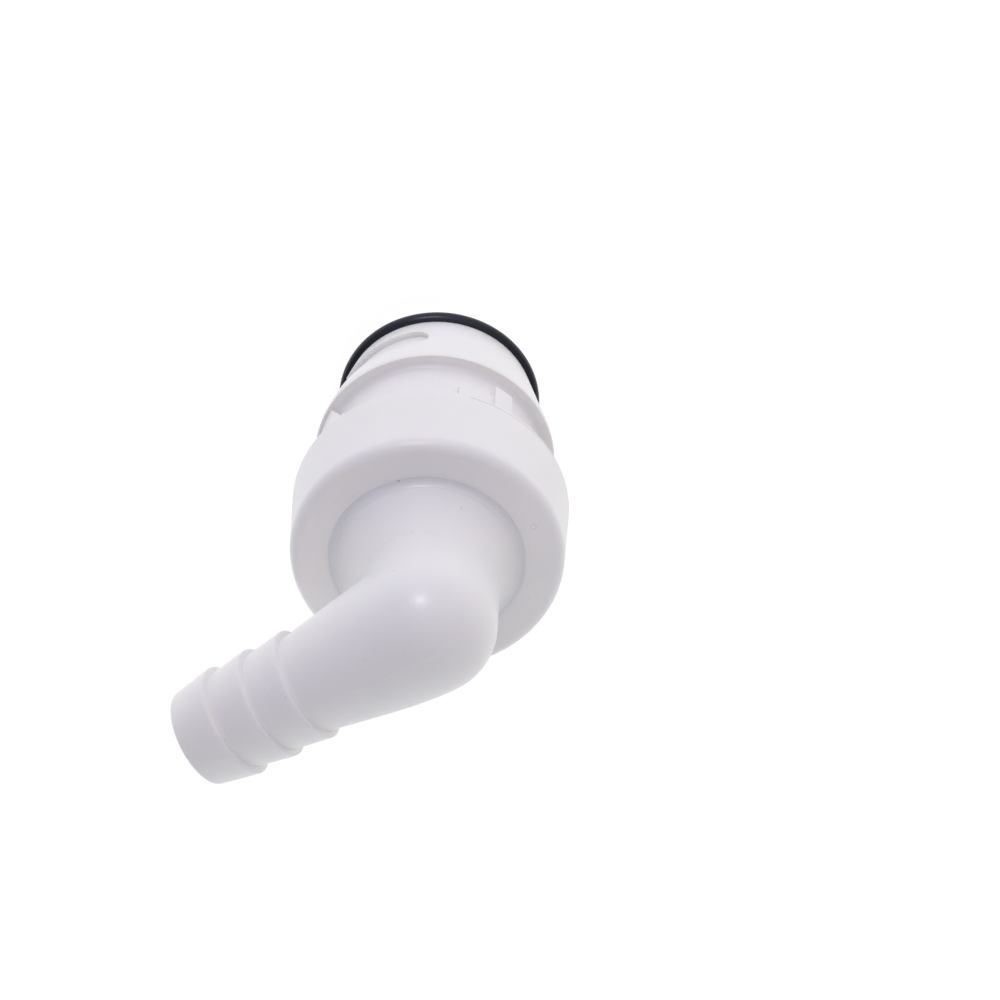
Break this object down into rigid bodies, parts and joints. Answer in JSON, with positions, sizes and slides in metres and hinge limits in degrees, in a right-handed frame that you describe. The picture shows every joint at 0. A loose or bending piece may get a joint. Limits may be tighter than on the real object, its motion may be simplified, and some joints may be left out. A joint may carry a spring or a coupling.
{
  "type": "thru hull fitting",
  "caption": "Right-angle barbed hose elbow that swivels in a twist-lock plug-in insert with a tip O-ring and a round hand cap.",
  "frame": {"origin": "on the main axis, at the open end of the insert", "axes": "+Z along the main axis from the insert's open end to the elbow, +X along the hose tail"},
  "size_m": [0.0735, 0.0514, 0.0943],
  "materials": {
    "body_plastic": "moulded off-white acetal, satin gloss",
    "cap_plastic": "moulded off-white acetal, satin gloss, fine moulding specks",
    "elbow_plastic": "moulded off-white acetal, satin gloss, faint mould seam",
    "seal_rubber": "black nitrile with a film of grease",
    "washer_plastic": "natural low-friction plastic",
    "ring_steel": "stainless spring steel"
  },
  "bodies": {
    "insert": {"insert_body": "body_plastic", "locking_cap": "cap_plastic", "tip_o_ring": "seal_rubber", "thrust_washer": "washer_plastic", "bearing_washer": "washer_plastic"},
    "elbow": {"elbow_tail": "elbow_plastic", "upper_swivel_o_ring": "seal_rubber", "lower_swivel_o_ring": "seal_rubber", "retaining_ring": "ring_steel"}
  },
  "joints": [
    {"name": "elbow_swivel", "type": "hinge", "parent": "insert", "child": "elbow", "pos_m": [0, 0, 0.058], "axis": [0, 0, 1], "continuous": true}
  ]
}
